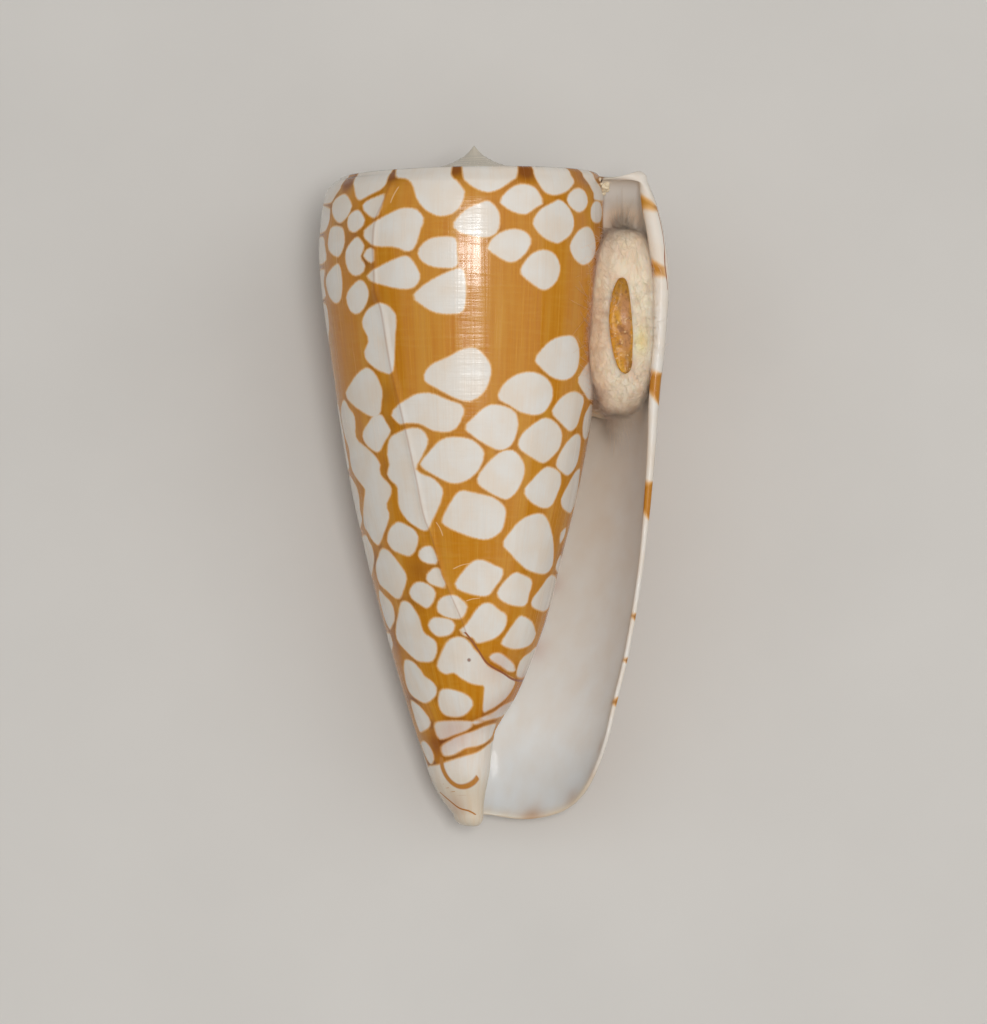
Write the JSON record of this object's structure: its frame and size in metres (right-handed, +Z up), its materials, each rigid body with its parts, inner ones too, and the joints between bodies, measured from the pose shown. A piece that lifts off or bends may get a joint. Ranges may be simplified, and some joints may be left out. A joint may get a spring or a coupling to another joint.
{
  "type": "cone shell",
  "caption": "Cordigera cone shell lying on its back, aperture up, with a cotton wad in the mouth and the operculum resting on it.",
  "frame": {"origin": "middle of the footprint, on the surface that the shell lies on", "axes": "+Z up, out of the aperture; +Y from the front tip towards the apex; +X towards the outer lip"},
  "size_m": [0.0246, 0.0474, 0.0225],
  "materials": {
    "shell": "gloss",
    "cotton": "matte",
    "horn": "gloss"
  },
  "bodies": {
    "root": {"shell": "shell", "cotton_plug": "cotton", "operculum": "horn"}
  },
  "joints": []
}
